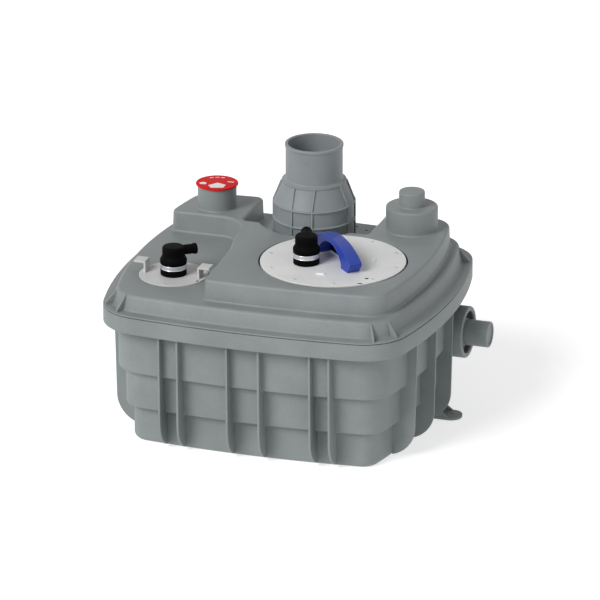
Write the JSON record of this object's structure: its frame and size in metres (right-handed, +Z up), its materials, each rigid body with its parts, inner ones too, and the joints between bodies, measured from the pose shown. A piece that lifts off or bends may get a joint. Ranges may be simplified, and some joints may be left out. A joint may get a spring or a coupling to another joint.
{
  "type": "sewage lifting station",
  "caption": "Grey moulded tank and lid with a ribbed pipe inlet, closed spigots, a lift-out pump under a round cover with a handle, and a sensor hatch.",
  "frame": {"origin": "centre of the tank's underside, where it stands on the floor", "axes": "+Z up through the inlet tower, +X along the tank towards the side inlet, -Y towards the face with the covers in front"},
  "size_m": [0.694, 0.6863, 0.5015],
  "materials": {
    "tank_grey": "satin moulded polyethylene",
    "lid_grey": "satin moulded polyethylene",
    "tower_grey": "satin moulded polyethylene",
    "pipe_grey": "satin",
    "cover_white": "satin moulded",
    "trim_white": "satin moulded",
    "handle_blue": "semi-gloss moulded",
    "cap_red": "semi-gloss with plain white shapes",
    "boot_black": "matt moulded rubber",
    "seal_black": "matt rubber",
    "capacitor_black": "gloss",
    "clamp_steel": "bright rolled band",
    "screw_steel": "bright",
    "bearing_steel": "ground",
    "core_steel": "laminated",
    "cutter_steel": "hardened and ground",
    "cast_iron": "painted cast iron",
    "winding_copper": "enamelled copper wire"
  },
  "bodies": {
    "station": {"tank_base": "tank_grey", "tank_middle": "tank_grey", "tank_top": "tank_grey", "tank_fins": "tank_grey", "side_inlet": "tank_grey", "fixing_lugs": "tank_grey", "lid_lower_deck": "lid_grey", "lid_upper_deck": "lid_grey", "vent_pipe": "lid_grey", "plug_pipe": "lid_grey", "inlet_tower": "tower_grey", "inlet_tower_seal": "seal_black", "motor_cover_seal": "seal_black", "hatch_seal": "seal_black", "discharge_pipe": "pipe_grey", "coupling_gasket": "seal_black", "outlet_grommet": "seal_black", "check_valve_body": "pipe_grey", "check_valve_cover": "pipe_grey", "valve_cover_screws": "screw_steel", "flap_pin": "screw_steel", "outlet_sleeve": "boot_black", "sleeve_clamps": "clamp_steel", "sleeve_clamp_screws": "clamp_steel"},
    "pump_unit": {"motor_cover": "cover_white", "motor_cover_screws": "screw_steel", "motor_fixing_caps": "trim_white", "motor_fixing_screws": "screw_steel", "lift_handle": "handle_blue", "handle_screws": "screw_steel", "motor_boot": "boot_black", "motor_boot_clamp": "clamp_steel", "motor_clamp_screw": "clamp_steel", "motor_can": "cast_iron", "stator_core": "core_steel", "stator_windings": "winding_copper", "capacitor": "capacitor_black", "bearing_bracket": "cast_iron", "upper_bearing": "bearing_steel", "lower_bearing": "bearing_steel", "seal_chamber": "cast_iron", "shaft_seal": "seal_black", "pump_casing": "cast_iron", "casing_screws": "screw_steel", "cutting_plate": "cutter_steel", "pump_strainer": "cast_iron"},
    "pump_rotor": {"pump_shaft": "bearing_steel", "rotor_core": "core_steel", "impeller": "cast_iron", "cutter_knife": "cutter_steel", "knife_screw": "screw_steel"},
    "hatch": {"hatch_cover": "cover_white", "hatch_grips": "trim_white", "hatch_screws": "screw_steel", "hatch_boot": "boot_black", "hatch_boot_clamp": "clamp_steel", "hatch_clamp_screw": "clamp_steel", "level_switch": "pipe_grey", "dip_tube": "trim_white", "alarm_tube": "trim_white"},
    "vent_cap": {"vent_cap": "cap_red"},
    "valve_flap": {"valve_flap": "seal_black"}
  },
  "joints": [
    {"name": "pump_lift", "type": "slide", "parent": "station", "child": "pump_unit", "axis": [0, 0, 1], "range_m": [0, 0.42]},
    {"name": "rotor_spin", "type": "hinge", "parent": "pump_unit", "child": "pump_rotor", "pos_m": [0.109, -0.0635, 0.15], "axis": [0, 0, 1], "continuous": true},
    {"name": "hatch_lift", "type": "slide", "parent": "station", "child": "hatch", "axis": [0, 0, 1], "range_m": [0, 0.3]},
    {"name": "vent_cap_lift", "type": "slide", "parent": "station", "child": "vent_cap", "axis": [0, 0, 1], "range_m": [0, 0.05]},
    {"name": "flap_swing", "type": "hinge", "parent": "station", "child": "valve_flap", "pos_m": [0.083, 0.29278, 0.212], "axis": [1, 0, 0], "range_deg": [0, 50]}
  ]
}
